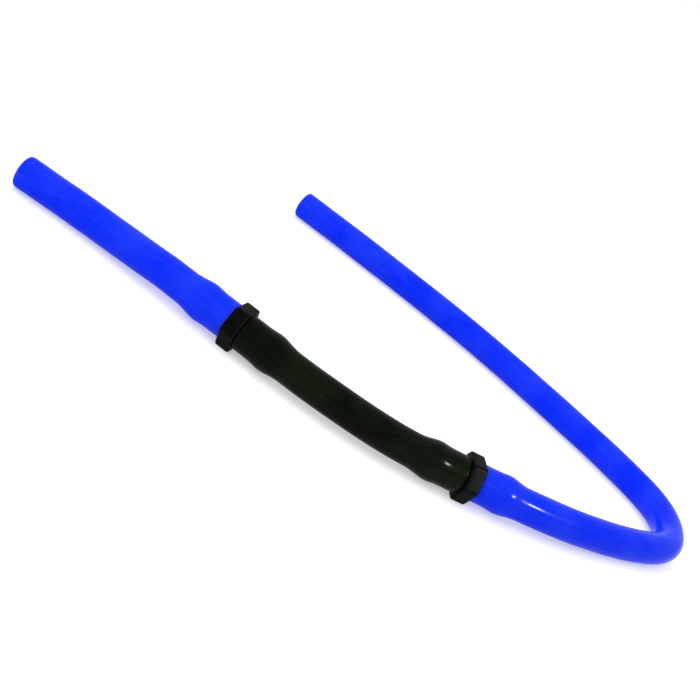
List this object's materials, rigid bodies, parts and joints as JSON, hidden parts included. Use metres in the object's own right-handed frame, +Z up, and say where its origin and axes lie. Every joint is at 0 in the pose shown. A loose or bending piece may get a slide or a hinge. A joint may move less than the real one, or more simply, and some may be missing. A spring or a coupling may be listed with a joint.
{
  "type": "barbed tube assembly",
  "caption": "Flexible soft tube in contrasting lengths joined by flanged barbed joiners, lying in an open U with free square-cut ends.",
  "frame": {"origin": "centre of the assembly's outline, on the surface it lies on", "axes": "+X along the longest extent, from the short arm's end towards the bend; +Y from the joiners towards the long arm's free leg; +Z up"},
  "size_m": [0.2733, 0.1741, 0.0154],
  "materials": {
    "tube_blue": "smooth glossy soft tube, saturated blue, very slightly translucent",
    "sleeve_black": "smooth glossy soft tube, near black with a green cast, bare of any print",
    "joiner_black": "moulded black plastic, fine satin texture"
  },
  "bodies": {
    "sleeve": {"centre_sleeve": "sleeve_black"},
    "left_arm_root": {"left_joiner": "joiner_black", "left_tube_root": "tube_blue"},
    "left_arm": {"left_tube_free": "tube_blue"},
    "right_arm_root": {"right_joiner": "joiner_black", "right_tube_near": "tube_blue"},
    "right_arm": {"right_tube_far": "tube_blue"}
  },
  "joints": [
    {"name": "left_arm_twist", "type": "hinge", "parent": "sleeve", "child": "left_arm_root", "pos_m": [-0.0463, -0.07405, 0.0077], "axis": [0.981, -0.1942, 0], "range_deg": [-180, 180]},
    {"name": "left_arm_flex", "type": "hinge", "parent": "left_arm_root", "child": "left_arm", "pos_m": [-0.06925, -0.0695, 0.0077], "axis": [0, 0, 1], "range_deg": [-30, 30], "stiffness_Nm_per_rad": 0.03},
    {"name": "right_arm_twist", "type": "hinge", "parent": "sleeve", "child": "right_arm_root", "pos_m": [0.04425, -0.07405, 0.0077], "axis": [0.9632, 0.2689, 0], "range_deg": [-180, 180]},
    {"name": "bend_flex", "type": "hinge", "parent": "right_arm_root", "child": "right_arm", "pos_m": [0.1307, -0.0122, 0.006], "axis": [0, 0, 1], "range_deg": [-30, 25], "stiffness_Nm_per_rad": 0.05}
  ]
}
